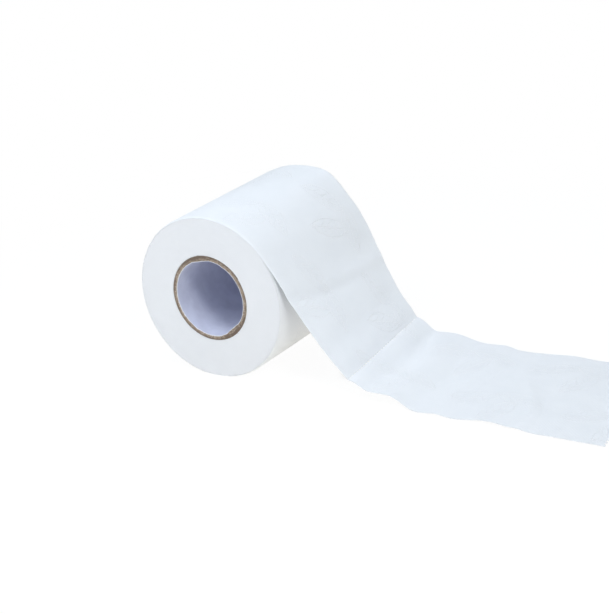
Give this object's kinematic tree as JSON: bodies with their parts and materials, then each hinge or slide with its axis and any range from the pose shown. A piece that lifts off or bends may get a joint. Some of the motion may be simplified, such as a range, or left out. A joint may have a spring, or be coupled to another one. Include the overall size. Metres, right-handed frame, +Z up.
{
  "type": "toilet paper roll",
  "caption": "Toilet paper roll on its side, wound on a lined board core, with its loose end drawn off and laid on the floor.",
  "frame": {"origin": "on the roll's axis, halfway along the core's bore", "axes": "+X the way the loose end is drawn off, +Y along the roll's axis, +Z up"},
  "size_m": [0.2837, 0.1023, 0.0965],
  "materials": {
    "tissue": "soft matte white tissue, two plies, lightly embossed",
    "core_board": "raw grey-brown board with a fibrous cut edge",
    "liner_paper": "smooth matte white paper"
  },
  "bodies": {
    "root": {"tissue_web": "tissue", "cardboard_core": "core_board", "core_liner": "liner_paper"}
  },
  "joints": []
}
